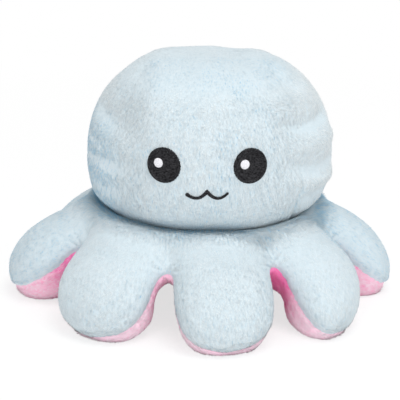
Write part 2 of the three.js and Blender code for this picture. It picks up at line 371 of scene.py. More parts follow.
domeSize = {
    "squareness": 2.5,       # 2 is a plain oval
    "seam": math.radians(117.5),
}
headSize = {
    "offset": 5,             # of its middle, and the pocket's, to the picture's right
    "radius": 74,
    "equator": 88,           # height of the widest place
    "rise": 63.5,            # from there up to the crown
    "drop": 43,              # and down to the flat underside
    "rim": 56,               # radius of the neck
    "tip": 30,               # from the middle to the side panels' tips at the crown
}
pocketSize = {
    "radius": 46,
    "equator": 60,
    "rise": 50,
    "drop": 50,
    "rim": 43.5,             # radius of its open mouth
    "tip": 18,
}
sides = {"front": 1, "right": 2, "back": 3, "left": 4}


# Height of a squared half oval at a share of its radius.
def swelling(share):
    power = domeSize["squareness"]
    return np.maximum(0, 1 - np.abs(share) ** power) ** (1 / power)


# Height under the equator at which the dome has this radius.
def domeHeight(dome, radius):
    return dome["equator"] - dome["drop"] * float(swelling(radius / dome["radius"]))


def domeShape(dome):
    columns, rows = 96, 62
    power = 2 / domeSize["squareness"]
    bearings = np.linspace(0, 2 * math.pi, columns, endpoint=False)
    loops = []
    for angle in np.linspace(-math.pi / 2, math.pi / 2, rows)[1:-1]:
        radius = math.cos(angle) ** power * dome["radius"]
        half = dome["rise"] if angle > 0 else dome["drop"]
        z = dome["equator"] + math.copysign(abs(math.sin(angle)) ** power * half, angle)
        x = headSize["offset"] + radius * np.sin(bearings)
        loops.append(np.stack([x, -radius * np.cos(bearings), np.full(columns, z)], axis=1))
    return closedTube(loops)


# Place and outward normal of the four upright planes that hold the seams.
def seamPlanes(dome):
    planes = []
    for sideways in (1, -1):
        for forwards in (1, -1):
            place = (headSize["offset"] + sideways * dome["tip"], 0, dome["equator"])
            normal = (sideways * math.sin(domeSize["seam"]), forwards * abs(math.cos(domeSize["seam"])), 0)
            planes.append((place, normal))
    return planes


# Adds edge lines along the four side seams, over the crown and round the rim.
def cutDome(points, faces, dome, near):
    bm = toBmesh(points, faces)
    for place, normal in seamPlanes(dome):
        sideways, forwards = np.sign(normal[0]), np.sign(normal[1])

        def quarter(x, y, z):
            return (sideways * (x - place[0]) > -4) & (forwards * y < 4)

        cut(bm, quarter, place, normal, near)

    def crown(x, y, z):
        return (np.abs(x - headSize["offset"]) < dome["tip"]) & (z > dome["equator"])

    cut(bm, crown, (0, 0, 0), (0, 1, 0), near)
    rim = domeHeight(dome, dome["rim"])
    cut(bm, lambda x, y, z: z < dome["equator"], (0, 0, rim), (0, 0, 1), near)
    return fromBmesh(bm)


# The panel that each face belongs to, and 0 under the rim.
def domeLabels(points, faces, dome):
    x, y, z = middles(points, faces).T
    label = np.where(y < 0, sides["front"], sides["back"])
    fromSide = np.abs(x - headSize["offset"]) - dome["tip"]
    slant = fromSide * math.sin(domeSize["seam"]) + np.abs(y) * math.cos(domeSize["seam"])
    label[(slant > 0) & (x > headSize["offset"])] = sides["right"]
    label[(slant > 0) & (x < headSize["offset"])] = sides["left"]
    label[z < domeHeight(dome, dome["rim"])] = 0
    return label


def anySeam(a, b):
    return a != b and a and b


# Height of the head's underside, which lies on the skirt.
def headUnderside(x, y):
    share = np.hypot(x - headSize["offset"], y) / headSize["radius"]
    return headSize["equator"] - headSize["drop"] * swelling(share)


# Height at which the pocket's mouth is sewn to the pink ring.
def rimHeight():
    share = pocketSize["rim"] / pocketSize["radius"]
    across = np.arccos(share ** (domeSize["squareness"] / 2))
    drop = (pocketSize["drop"] + skirtSize["cloth"]) * np.sin(across) ** (2 / domeSize["squareness"])
    return pocketSize["equator"] - drop - skirtSize["cloth"] - 2 * skirtSize["gap"]


# Skirt

skirtSize = {
    "count": 8,
    "turn": math.radians(6),
    "root": 74.8,            # from the middle out to where the tentacles start
    "seamAtRoot": 40,
    "crest": 62,             # height of the ring on top of each tentacle's middle line
    "shoulder": 66,          # where the ring starts to fall
    "crease": 62,            # where the valleys between the tentacles start, on top
    "underCrease": 50,       # and below
    "cloth": 2,
    "gap": 0.3,              # between two pieces of cloth
    "lay": 0.7,              # between the head and the skirt
    "least": 0.8,            # the ring's sheets stay this far from the seam's height
}
tentacleSize = {
    # lists are for each tentacle; the last one's reach and sway differ a little from the CAD model's
    "reach": 117,            # from the toy's middle to a tip
    "reachShares": [0.99, 1, 0.99, 0.98, 0.99, 0.98, 0.99, 0.94],
    "fullnessShares": [1, 1, 0.93, 0.85, 0.85, 0.85, 0.97, 1],
    "soleShares": [1, 1, 1, 1, 1, 1, 0.9, 1],
    "swayShares": [-0.01, -0.13, -0.03, 0, 0, 0, -0.09, 0.02],    # of a tip to one side
    "seamAtTip": 5.5,
    "seamTips": [3, 3.5, 8, 5.5, 5.5, 5.5, 9, 3],    # height to which the two colours' seam falls
    "rootHalf": 28.6,        # half the width
    "bellyHalf": 28.9,
    "topAtRoot": 18.5,       # from the seam up
    "topFull": 21,
    "soleAtRoot": 22,        # and down
    "soleFull": 26.5,
}
sector = 2 * math.pi / skirtSize["count"]
labels = {"wall": 0, "ringTop": 1, "ringUnder": 2, "top": 10, "sole": 20}


# Distance out along the nearest tentacle's middle line, place across it, and its number.
def sectorPlace(x, y):
    radius = np.hypot(x, y)
    bearing = np.arctan2(x, -y) - skirtSize["turn"]
    number = np.round(bearing / sector)
    across = bearing - number * sector
    return radius * np.cos(across), radius * np.sin(across), number.astype(int) % skirtSize["count"]


# A tentacle's own out, across and up as x, y and z.
def tentaclePlace(number, out, across, z):
    bearing = skirtSize["turn"] + number * sector
    x = out * math.sin(bearing) + across * math.cos(bearing)
    y = -out * math.cos(bearing) + across * math.sin(bearing)
    return np.stack(np.broadcast_arrays(x, y, z), axis=-1).astype(float)


# Height of a half circle at a share of its radius.
def roundness(share):
    return np.sqrt(np.maximum(0, 1 - share * share))


# 0 on a tentacle's middle line, growing to 1 in the notch beside it.
def valleyAt(out, across, start):
    share = across * skirtSize["root"] / (np.maximum(out, 1) * tentacleSize["rootHalf"])
    depth = smooth((out - start) / (skirtSize["root"] - start))
    return depth * (1 - roundness(share))


def skirtTop(x, y):
    out, across, _ = sectorPlace(x, y)
    notch = skirtSize["seamAtRoot"] + skirtSize["gap"] / 2
    fall = skirtSize["crest"] - tentacleSize["topAtRoot"] - notch
    beyond = np.maximum(0, out - skirtSize["shoulder"]) / (skirtSize["root"] - skirtSize["shoulder"])
    crest = skirtSize["crest"] - fall * beyond * beyond
    height = lerp(crest, notch, valleyAt(out, across, skirtSize["crease"]))
    return np.maximum(np.minimum(height, headUnderside(x, y) - skirtSize["lay"]), notch + skirtSize["least"])


def skirtUnderside(x, y):
    out, across, _ = sectorPlace(x, y)
    notch = skirtSize["seamAtRoot"] - skirtSize["gap"] / 2
    rim = pocketSize["rim"] + headSize["offset"] * np.sin(np.arctan2(x, -y))
    radius = np.hypot(x, y)
    share = (radius - rim) / (skirtSize["root"] * radius / out - rim)
    belly = lerp(rimHeight(), notch - tentacleSize["soleAtRoot"], smooth(share))
    height = lerp(belly, notch, valleyAt(out, across, skirtSize["underCrease"]))
    return np.minimum(height, notch - skirtSize["least"])


# 1 over the first third of a tentacle's length and then round to 0. A higher power is blunter.
def taper(v, power):
    past = np.maximum(0, (v - 1 / 3) * 1.5)
    return np.maximum(0, 1 - past**power) ** (1 / power)


# One closed loop round a tentacle at share v of its length. Positive sines are on top.
def tentacleLoop(number, v, around):
    reach = tentacleSize["reach"] * tentacleSize["reachShares"][number]
    fall = skirtSize["seamAtRoot"] - tentacleSize["seamAtTip"]
    slope = math.atan2(fall, reach - skirtSize["root"]) * smooth(2 * v)
    full = tentacleSize["topFull"] * tentacleSize["fullnessShares"][number]
    top = lerp(tentacleSize["topAtRoot"], full, smooth(2 * v))
    fullSole = tentacleSize["soleFull"] * tentacleSize["soleShares"][number]
    sole = lerp(tentacleSize["soleAtRoot"], fullSole, smooth(2 * v))
    sine = np.sin(around)
    thick = np.where(sine > 0, top, sole) * taper(v, 2) * sine
    half = lerp(tentacleSize["rootHalf"], tentacleSize["bellyHalf"], smooth(3 * v)) * taper(v, 2.6)
    out = lerp(skirtSize["root"], reach, v) + thick * math.sin(slope)
    z = lerp(skirtSize["seamAtRoot"], tentacleSize["seamAtTip"], v) + thick * math.cos(slope)
    across = half * np.cos(around) + tentacleSize["reach"] * tentacleSize["swayShares"][number] * v * v
    return tentaclePlace(number, out, across, np.maximum(z, 0))


skirtValues = {
    "voxel": 3,
    "ringLap": 1.5,          # how far the ring and the tentacles reach into each other
    "tentacleLap": 3,
    "cutNear": 8,            # how far from a root's plane faces are cut by it
    "notchFrom": 68,         # from the toy's middle, where the seam crosses the ring
    "pinReach": 8,           # from the hidden wall, over which the cloth is held
    "gatherReach": 5,        # from the seam, over which it is drawn together
    "notchReach": 20,        # from a notch, over which it is held back
    "notchHold": 0.85,
    "start": 1.5,            # how far the shape is drawn in before it is blown up
    "swell": 2.6,            # how far the cloth may rise over the shape, sink under it and slide along it
    "sink": 0.7,
    "slide": 3,
    "scale": 10,             # the cloth is blown up this much larger, where the solver is steadier
    "mass": 0.3,
    "stiffness": 15,
    "shear": 5,
    "bending": 0.5,
    "air": 1,
    "pressure": 9,
    "growth": -0.05,
    "gathering": 0.12,
    "frames": 20,
    "grooveDepth": 1,
    "grooveWidth": 3,
    "fuller": 0.6,           # added all over after the cloth has been smoothed
}


# The ring under the head, in upright loops that lap a little into the tentacles.
def ringShape():
    perTentacle, rows = 24, 14
    loops = []
    for j in range(perTentacle * skirtSize["count"]):
        across = ((j + 0.5) % perTentacle) / perTentacle - 0.5
        bearing = skirtSize["turn"] + ((j + 0.5) / perTentacle - 0.5) * sector
        outer = (skirtSize["root"] + skirtValues["ringLap"]) / math.cos(across * sector)

        def spot(inner, v):
            side = headSize["offset"] + inner * math.sin(bearing)
            x = lerp(side, outer * math.sin(bearing), v)
            y = lerp(-inner * math.cos(bearing), -outer * math.cos(bearing), v)
            return np.array([x]), np.array([y])

        def column(inner, height, steps):
            made = []
            for v in steps:
                x, y = spot(inner, v)
                made.append([x[0], y[0], float(height(x, y)[0])])
            return made

        def wall(first, last, steps):
            return [list(lerp(np.array(first), np.array(last), t)) for t in steps]

        top = column(headSize["rim"], skirtTop, np.linspace(0, 1, rows))
        under = column(pocketSize["rim"], skirtUnderside, np.linspace(1, 0, rows))
        outerWall = wall(top[-1], under[0], (0.25, 0.5, 0.75))
        innerWall = wall(under[-1], top[0], np.linspace(0.1, 0.9, 9))
        loops.append(np.array(top + outerWall + under + innerWall))
    return closedRing(loops)


def tentacleShape(number):
    columns, rows, last = 40, 18, 0.985
    around = np.linspace(0, 2 * math.pi, columns, endpoint=False)
    root = tentacleLoop(number, 0.0, around)
    loops = [root - tentaclePlace(number, skirtValues["tentacleLap"], 0, 0), root]
    for v in np.linspace(0, last, rows)[1:]:
        loops.append(tentacleLoop(number, math.sin(v * math.pi / 2), around))
    return closedTube(loops)


# A place on the plane that holds a tentacle's seam, and the way up from it.
def seamPlane(number):
    reach = tentacleSize["reach"] * tentacleSize["reachShares"][number]
    run, drop = reach - skirtSize["root"], skirtSize["seamAtRoot"] - tentacleSize["seamTips"][number]
    place = tentaclePlace(number, skirtSize["root"], 0, skirtSize["seamAtRoot"])
    normal = tentaclePlace(number, drop, 0, run)
    return place, normal / np.linalg.norm(normal)


# Adds edge lines at the tentacles' roots and along the seam between the colours.
def cutSkirt(points, faces):
    near = skirtValues["voxel"] * snap
    bm = toBmesh(points, faces)

    def atRoot(x, y, z):
        out, _, mine = sectorPlace(x, y)
        return (mine == number) & (np.abs(out - skirtSize["root"]) < skirtValues["cutNear"])

    def pastRoot(x, y, z):
        out, _, mine = sectorPlace(x, y)
        return (mine == number) & (out > skirtSize["root"])

    def atNotch(x, y, z):
        return (sectorPlace(x, y)[0] < skirtSize["root"]) & (np.hypot(x, y) > skirtValues["notchFrom"])

    for number in range(skirtSize["count"]):
        place = tentaclePlace(number, skirtSize["root"], 0, 0)
        normal = tentaclePlace(number, 1, 0, 0)
        cut(bm, atRoot, place, normal, near)
        cut(bm, pastRoot, *seamPlane(number), near)
    cut(bm, atNotch, (0, 0, skirtSize["seamAtRoot"]), (0, 0, 1), near)
    return fromBmesh(bm)


# The piece that each face belongs to, by its place. The margins allow for the remeshing.
def skirtLabels(points, faces):
    middle = middles(points, faces)
    x, y, z = middle.T
    out, _, number = sectorPlace(x, y)
    label = np.where(z > skirtSize["seamAtRoot"], labels["ringTop"], labels["ringUnder"])
    fromHead = np.hypot(x - headSize["offset"], y)
    inside = (z > skirtUnderside(x, y) + 2.5) & (z < skirtTop(x, y) - 1.5)
    inner = (fromHead < headSize["rim"] + 1) & inside
    label[inner | (fromHead < pocketSize["rim"] + 0.5)] = labels["wall"]
    for k in range(skirtSize["count"]):
        mine = (number == k) & (out > skirtSize["root"])
        place, normal = seamPlane(k)
        above = (middle - place) @ normal > 0
        label[mine & above] = labels["top"] + k
        label[mine & ~above] = labels["sole"] + k
    return label


# 1 for blue cloth, 2 for pink cloth, 0 for a hidden face.
def colourSide(mark):
    if mark == labels["wall"]:
        return 0
    return 1 if mark == labels["ringTop"] or labels["top"] <= mark < labels["sole"] else 2


# Whether blue cloth meets pink cloth between two faces.
def skirtPairs(a, b):
    return colourSide(a) != colourSide(b) and colourSide(a) and colourSide(b)


# The inner end of the notch after a tentacle.
def notchPlace(number, height):
    return tentaclePlace(number, skirtSize["root"], skirtSize["root"] * math.tan(sector / 2), height)


# Points up and down the inner ends of the notches between the tentacles.
def notchPoints():
    heights = (36, 40, 44)
    return np.array([notchPlace(k, z) for k in range(skirtSize["count"]) for z in heights])


puckerValues = {
    "depth": 0.5,
    "creases": 7,        # in half a turn round a notch
    "reach": 20,         # how far they run from it
    "pulls": [0, 1, 1, 1, 1, 1, 2, 1.5],    # how far the notch after each tentacle is drawn to the middle
    "pullReach": 14,
}


# Draws each notch in, with short creases that run out from it, where the seam gathers the cloth.
def puckered(points, faces):
    depth = np.zeros(len(points))
    moved = np.zeros_like(points)
    for k in range(skirtSize["count"]):
        notch = notchPlace(k, skirtSize["seamAtRoot"])
        inwards = -notch * (1, 1, 0) / np.linalg.norm(notch[:2])
        across = np.array([-inwards[1], inwards[0], 0])
        off = points - notch
        distance = np.linalg.norm(off, axis=1)
        turn = np.arctan2(off @ across, off @ inwards + np.maximum(off[:, 2], 0) * 0.7)
        share = distance / puckerValues["reach"]
        fade = smooth(share * 4) * smooth(1 - share) * (off[:, 2] > -1)
        depth += fade * np.maximum(0, np.cos(puckerValues["creases"] * turn + k)) ** 2
        pull = puckerValues["pulls"][k] * smooth(1 - distance / puckerValues["pullReach"])
        moved += inwards * pull[:, None]
    return points - facing(points, faces) * (depth * puckerValues["depth"])[:, None] + moved


# Bearing in the CAD model, and how many degrees the skirt, as it was set down, lies past it
leans = {
    -84: -2, -61.5: -2, -39: 0.5, -16.5: 2.7, 6: 2.5, 28.5: 3.5, 51: 0.5, 73.5: 0, 96: -1, 141: 0, 231: 0,
}


# Turns the parts of the skirt a little, each its own way, as the toy was set down.
def leaning(points):
    x, y, z = points.T
    radius = np.hypot(x, y)
    bearing = np.degrees(np.arctan2(x, -y))
    places = np.array(sorted(((b + 180) % 360 - 180, d) for b, d in leans.items())).T
    turn = np.interp(bearing, *places, period=360)
    turn = np.radians(turn) * smooth((radius - 62) / 18)
    return np.stack([x * np.cos(turn) - y * np.sin(turn), x * np.sin(turn) + y * np.cos(turn), z], axis=1)


# The skirt as one skin: cut along its seams, blown up as cloth, gathered and creased.
def buildSkirt():
    parts = [ringShape(), *[tentacleShape(k) for k in range(skirtSize["count"])]]
    points, faces = remeshed(*together(parts), skirtValues["voxel"])
    points = relaxed(points, edgesOf(faces), 3)
    points, faces = cutSkirt(points, faces)
    label = skirtLabels(points, faces)
    seam = seamPoints(points, faces, label, skirtPairs)
    wall = onLabel(faces, label, labels["wall"])
    say(f"skirt cut, {len(points)} points, {len(seam)} on the seam")
    pins = nearness(points, points[wall], skirtValues["pinReach"])
    gather = nearness(points, points[seam], skirtValues["gatherReach"])
    notched = nearness(points, notchPoints(), skirtValues["notchReach"])
    start = points - facing(points, faces) * skirtValues["start"] * (1 - pins)[:, None]
    blown = inflated(start, faces, pins, gather, skirtValues)
    slack = (1 - pins) * (1 - skirtValues["notchHold"] * notched)
    blown = capped(points, faces, blown, skirtValues, slack)
    blown = relaxed(blown, edgesOf(faces), 1)
    say("skirt blown up")
    blown, faces, label = subdivided(blown, faces, label)
    seam = seamPoints(blown, faces, label, skirtPairs)
    blown = grooved(blown, faces, blown[seam], skirtValues["grooveDepth"], skirtValues["grooveWidth"])
    wall = blown[onLabel(faces, label, labels["wall"])]
    free = 1 - nearness(blown, wall, skirtValues["pinReach"])
    free = free * (1 - nearness(blown, notchPoints(), skirtValues["notchReach"]))
    blown = blown + facing(blown, faces) * (skirtValues["fuller"] * free)[:, None]
    blown = puckered(blown, faces)
    blown = leaning(blown)
    blown[:, 2] = np.maximum(blown[:, 2], 0)
    return blown, faces, label


# Head

headValues = {
    "voxel": 3,
    "start": 1,          # from here to the grooves' width, as for the skirt
    "swell": 2,
    "sink": 1.5,
    "slide": 2,
    "scale": 10,
    "mass": 0.3,
    "stiffness": 15,
    "shear": 5,
    "bending": 1,
    "air": 1,
    "pressure": 5,
    "growth": -0.02,
    "gathering": 0.1,
    "frames": 16,
    "grooveDepth": 1,
    "grooveWidth": 3,
    "lean": 1,           # to the right, at the top
    "heldTo": 56,        # height up to which the cloth is held by the neck
    "letGo": 14,         # and over how much more it is let go
    "gatherReach": 5,
    "seamReach": 2,      # how wide the seams show in the pile's tones
}


# How much a seam shows: hardly at the crown and the front's left, more low down at the right.
def seamShows(points):
    x, y, z = points.T
    low = smooth((99 - z) / 10)
    front = np.where(x > 0, 0.3 + 0.7 * low, 0.2)
    return np.where(y < 0, front, 0.7) * (0.15 + 0.85 * smooth((146 - z) / 20))


crownLumps = [
    # across from the head's middle, how far the filling pushes the crown out there, and how wide
    (-36, 1.8, 13),
    (-10, -1.2, 15),
    (14, -1.6, 12),
    (30, 0.6, 8),
    (44, 1.2, 13),
]


# The crown's uneven filling, which gives the outline soft corners.
def crowned(points, faces):
    out = facing(points, faces)
    high = smooth((points[:, 2] - 108) / 25)
    x = points[:, 0] - headSize["offset"]
    push = sum(rise * np.exp(-(((x - place) / width) ** 2)) for place, rise, width in crownLumps)
    push = push + 0.45 * noise(points, 42, 21)
    return points + out * (push * high)[:, None]


headCreases = [
    # start and end across and up on the head's front, depth and half width
    (76, 117, 36, 120, 4, 6),
    (78, 90, 44, 97, 2.8, 5),
    (70, 74, 54, 72, 1, 4),
    (-66, 124, -32, 115, 2.8, 7),
    (-66, 108, -48, 106, 1.2, 5),
    (-60, 95, -34, 98, 1.4, 4.5),
    (-62, 78, -44, 80, 0.8, 4.5),
    (56, 137, 24, 142, 1.5, 5),
]


# Soft creases that run in from a seam and die away, seen from the front.
def creased(points, out, creases):
    depth = np.zeros(len(points))
    for x0, z0, x1, z1, deep, width in creases:
        run = np.array([x1 - x0, z1 - z0], float)
        long = np.linalg.norm(run)
        share = ((points[:, 0] - x0) * run[0] + (points[:, 2] - z0) * run[1]) / long**2
        side = ((points[:, 2] - z0) * run[0] - (points[:, 0] - x0) * run[1]) / long * np.sign(run[0])
        side = (side + 0.25 * width * np.sin(share * 5)) / width
        fade = smooth(1 - (share - 0.3) / 0.7) * smooth(1 + share / 0.6)
        depth += deep * fade * (np.exp(-(side**2)) - 0.7 * np.exp(-(((side + 1.8) / 1.1) ** 2)))
    return points - out * (depth * smooth(-points[:, 1] / 18))[:, None]


# The head's cover as one skin: cut along its seams, blown up as cloth and creased.
def buildHead():
    points, faces = remeshed(*domeShape(headSize), headValues["voxel"])
    points = relaxed(points, edgesOf(faces), 2)
    points, faces = cutDome(points, faces, headSize, headValues["voxel"] * snap)
    label = domeLabels(points, faces, headSize)
    seam = seamPoints(points, faces, label, anySeam)
    say(f"head cut, {len(points)} points, {len(seam)} on the seams")
    pins = smooth(1 - (points[:, 2] - headValues["heldTo"]) / headValues["letGo"])
    gather = nearness(points, points[seam], headValues["gatherReach"]) * smooth((150 - points[:, 2]) / 25)
    start = points - facing(points, faces) * headValues["start"] * (1 - pins)[:, None]
    blown = inflated(start, faces, pins, gather, headValues)
    blown = capped(points, faces, blown, headValues, 1 - pins)
    blown = relaxed(blown, edgesOf(faces), 1)
    say("head blown up")
    blown, faces, label = subdivided(blown, faces, label)
    seam = seamPoints(blown, faces, label, anySeam)
    depth = headValues["grooveDepth"] * seamShows(blown)
    blown = grooved(blown, faces, blown[seam], depth, headValues["grooveWidth"])
    blown = crowned(blown, faces)
    blown = creased(blown, facing(blown, faces), headCreases)
    blown[:, 0] += headValues["lean"] * smooth((blown[:, 2] - headValues["heldTo"]) / 40)
    return blown, faces, label


# Pocket

pocketValues = {
    "voxel": 3,
    "near": 1,           # points this near a cut are drawn to it
    "crumple": 0.9,
    "wrinkles": 0.35,
    "ridge": 0.8,        # how far the seams stand out, as they are seen from within
    "ridgeWidth": 3,
}


# The pink twin of the head's cover, crumpled where the filling presses on it.
def buildPocket():
    points, faces = remeshed(*domeShape(pocketSize), pocketValues["voxel"])
    points = relaxed(points, edgesOf(faces), 2)
    points, faces = cutDome(points, faces, pocketSize, pocketValues["near"])
    label = domeLabels(points, faces, pocketSize)
    points, faces, label = subdivided(points, faces, label)
    seam = seamPoints(points, faces, label, anySeam)
    outwards = facing(points, faces)
    rim = smooth((points[:, 2] - domeHeight(pocketSize, pocketSize["rim"])) / 8)
    crumple = noise(points * (1, 1, 0.5), 17, 31) * pocketValues["crumple"]
    crumple = crumple + noise(points, 9, 32) * pocketValues["wrinkles"]
    points = points + outwards * (crumple * rim)[:, None]
    ridge = nearness(points, points[seam], pocketValues["ridgeWidth"]) * pocketValues["ridge"]
    return points + outwards * ridge[:, None], faces, label


# Materials


# A colour as a picture shows it, 0 to 255, as the renderer's own numbers.
def linear(colour):
    share = np.array(colour) / 255
    return tuple(np.where(share < 0.04045, share / 12.92, ((share + 0.055) / 1.055) ** 2.4))


# A material with its main shader, its nodes and its links.
def shader(name, colour, roughness):
    material = bpy.data.materials.new(name)
    material.use_nodes = True
    nodes, links = material.node_tree.nodes, material.node_tree.links
    main = nodes["Principled BSDF"]
    main.inputs["Base Color"].default_value = (*linear(colour), 1)
    main.inputs["Roughness"].default_value = roughness
    main.inputs["Specular IOR Level"].default_value = 0.2
    return material, main, nodes, links


def mixedColours(nodes, links, main, factor, low, high):
    mix = nodes.new("ShaderNodeMix")
    mix.data_type = "RGBA"
    mix.inputs[6].default_value = (*linear(low), 1)
    mix.inputs[7].default_value = (*linear(high), 1)
    links.new(factor, mix.inputs[0])
    links.new(mix.outputs[2], main.inputs["Base Color"])


def noiseNode(nodes, links, scale, detail, stretch=(1, 1, 1)):
    place = nodes.new("ShaderNodeTexCoord")
    mapping = nodes.new("ShaderNodeMapping")
    mapping.inputs["Scale"].default_value = stretch
    texture = nodes.new("ShaderNodeTexNoise")
    texture.inputs["Scale"].default_value = scale
    texture.inputs["Detail"].default_value = detail
    links.new(place.outputs["Object"], mapping.inputs["Vector"])
    links.new(mapping.outputs["Vector"], texture.inputs["Vector"])
    return texture.outputs["Fac"]


def bumped(nodes, links, main, height, strength, distance):
    bump = nodes.new("ShaderNodeBump")
    bump.inputs["Strength"].default_value = strength
    bump.inputs["Distance"].default_value = distance
    links.new(height, bump.inputs["Height"])
    links.new(bump.outputs["Normal"], main.inputs["Normal"])


# Short pile seen between the tufts: patches of lay, fine streaks and a soft sheen.
def plush(name, low, high, stretch):
    material, main, nodes, links = shader(name, high, 0.95)
    main.inputs["Sheen Weight"].default_value = 0.25
    main.inputs["Sheen Roughness"].default_value = 0.5
    streaks = noiseNode(nodes, links, 420, 3, stretch)
    patches = noiseNode(nodes, links, 60, 2)
    add = nodes.new("ShaderNodeMath")
    add.operation = "MULTIPLY_ADD"
    links.new(streaks, add.inputs[0])
    add.inputs[1].default_value = 0.6
    half = nodes.new("ShaderNodeMath")
    half.operation = "MULTIPLY"
    half.inputs[1].default_value = 0.4
    links.new(patches, half.inputs[0])
    links.new(half.outputs[0], add.inputs[2])
    mixedColours(nodes, links, main, add.outputs[0], low, high)
    bumped(nodes, links, main, streaks, 0.5, 0.0006)
    return material


# The fibres themselves, matt with a pale sheen at their edges, from the palest to the deepest. The deeper
# tones carry the painted shade.
def pileTones(name, colours):
    made = []
    for number, colour in enumerate(colours):
        material, main, _, _ = shader(f"{name} {number}", colour, 0.9)
        main.inputs["Sheen Weight"].default_value = 0.4 - 0.04 * number
        main.inputs["Sheen Roughness"].default_value = 0.4
        main.inputs["Sheen Tint"].default_value = (*linear(colour), 1)
        made.append(material)
    return made


def fibre(name):
    material, main, nodes, links = shader(name, (243, 241, 236), 1)
    fluff = noiseNode(nodes, links, 260, 6)
    mixedColours(nodes, links, main, fluff, (214, 211, 204), (252, 251, 248))
    bumped(nodes, links, main, fluff, 0.8, 0.001)
    return material


def thread(name, low, high, scale, stretch):
    material, main, nodes, links = shader(name, high, 0.5)
    main.inputs["Specular IOR Level"].default_value = 0.12
    twist = noiseNode(nodes, links, scale, 2, stretch)
    spread = nodes.new("ShaderNodeMapRange")
    spread.inputs[1].default_value = 0.35
    spread.inputs[2].default_value = 0.65
    links.new(twist, spread.inputs[0])
    mixedColours(nodes, links, main, spread.outputs[0], low, high)
    bumped(nodes, links, main, twist, 0.5, 0.0003)
    return material


# Darker than the pile's main tones: painted shade for the depth between the tufts.
blueCloth = plush("blue plush", (192, 210, 218), (214, 224, 229), (1, 1, 0.25))
pinkPairs = [
    # the darker and the lighter colour of each tone, from the palest to the deepest, which carry painted
    # shade
    ((255, 202, 224), (255, 228, 240)),
    ((253, 180, 210), (255, 214, 232)),
    ((252, 146, 193), (255, 186, 216)),
    ((251, 116, 178), (255, 158, 204)),
]
pinkCloths = [plush(f"pink plush {number}", *pair, (1, 1, 0.4)) for number, pair in enumerate(pinkPairs)]
# The deepest blue tones are bluer: painted shade for the crease under the head.
blueTones = pileTones("blue pile", [
    (234, 241, 243), (227, 235, 238), (218, 229, 234), (204, 221, 230),
    (187, 212, 225), (166, 206, 228), (148, 202, 233),
])
# The deepest pink tones are painted shade for the notches.
pinkTones = pileTones("pink pile", [
    (255, 236, 245), (255, 227, 239), (255, 216, 232), (255, 202, 223),
    (255, 184, 212), (255, 154, 202), (253, 112, 182),
])
filling = fibre("polyester filling")
blackThread = thread("black embroidery", (0, 0, 2), (54, 54, 57), 850, (1, 1, 2))
whiteThread = thread("white embroidery", (206, 206, 212), (240, 240, 243), 1100, (1, 1, 2.5))


# Pile

pileValues = {
    "density": {"blue": 2.2, "pink": 1.7},    # tufts on a square millimetre
    "length": 2.7,
    "width": 0.42,
    "lean": math.radians(72),
    "rooted": 0.35,          # how far a tuft's foot is under the cloth's face
    "raisedPink": 0.15,      # and how much less that is on the pink side
    "raisedNeck": 0.2,       # and where the head pushes the pile up
    "flatLean": 0.16,        # more lean where the pile lies flat and where it is ruffled
    "ruffledLean": 0.12,
    "neckLean": -0.7,
    "neckLength": 0.35,      # and more length there
    "gapLength": -0.4,       # less length and a deeper tone where the pile parts
    # painted shade in the partings of the pile
    "gapTone": 0.9,
    "clumpTone": -0.5,
    "palest": -0.7,          # the shade at which the tones start, and from one to the next
    "toneStep": 0.35,
}


# The way the pile is brushed: down on the head, outwards and down on the skirt.
def pileLay(points, normals, kind):
    if kind == "head":
        aim = (points - (headSize["offset"], 0, 0)) * (1, 1, 0) / headSize["radius"] * 0.5 + (0, 0, -1)
        aim = aim + np.outer(smooth((points[:, 2] - 140) / 10), (0.1, -0.25, 0))
    else:
        aim = points * (1, 1, 0)
        aim = aim / np.maximum(np.linalg.norm(aim, axis=1), 1)[:, None] + (0, 0, -0.5)
    swirl = np.stack([noise(points, 26, seed) for seed in (5, 6, 7)], axis=1) * 0.2
    aim = aim + swirl
    aim -= normals * (aim * normals).sum(1)[:, None]
    return aim / np.maximum(np.linalg.norm(aim, axis=1), 1e-6)[:, None]


# Places squeezed along the lay, so that soft noise on them makes streaks along it.
def combed(points, kind):
    if kind == "head":
        return points * (1, 1, 0.35)
    x, y, z = points.T
    return np.stack([np.arctan2(x, -y) * 85, np.hypot(x, y) * 0.4, z * 0.4], axis=1)


# How ruffled the pile is: most on the head's front, least near the crown and round the neck.
def ruffled(points, kind):
    if kind == "head":
        return 1.1 - 0.65 * smooth((points[:, 2] - 125) / 14)
    return 0.45 + 0.4 * smooth((-points[:, 1] - 60) / 35)


# How flat the pile lies: on the head's crown and sides, round the neck, and on the pink side.
def flattened(points, kind, colour):
    x, y, z = points.T
    if kind == "head":
        return np.maximum(smooth((z - 128) / 16), 0.6 * smooth((np.abs(x - 5) - 44) / 14))
    if colour == "pink":
        return np.full(len(points), 0.85)
    neck = np.hypot(x - headSize["offset"], y)
    return 0.9 - 0.5 * smooth((-y - 70) / 30) - 1.2 * smooth(1 - np.abs(neck - 70) / 11)


# 1 where the blue pile of the skirt is pushed up by the head that lies on it.
def atNeck(points, kind, colour):
    if kind == "head" or colour == "pink":
        return np.zeros(len(points))
    return smooth(1 - np.abs(np.hypot(points[:, 0] - headSize["offset"], points[:, 1]) - 69) / 4.5)


# Where the pile parts, in short lines along the lay.
def parted(points, kind):
    line = np.abs(noise(combed(points, kind), 4, 12, 11)) < 0.15
    return line & (noise(points, 4.5, 13, 9) > 0.7 - 0.85 * ruffled(points, kind))


# How much deeper the pile of the head gets. Less than 0 is paler, and pileValues["toneStep"] is one tone. Its
# sides and its lowest part hold painted shade and painted light.
headShades = {
    "crown": 0.85,       # where the front's top is brushed back
    "patches": 0.25,
    # painted shade on the left side and painted light on the right side, for the lamps' uneven light
    "left": 0.85,
    "right": -0.7,
    # painted sheen, paler high up on the side panels
    "goreSheen": -0.4,       # high up on the side panels
    # painted light, paler low on the head, where shade falls under it
    "chinLight": -0.5,
}


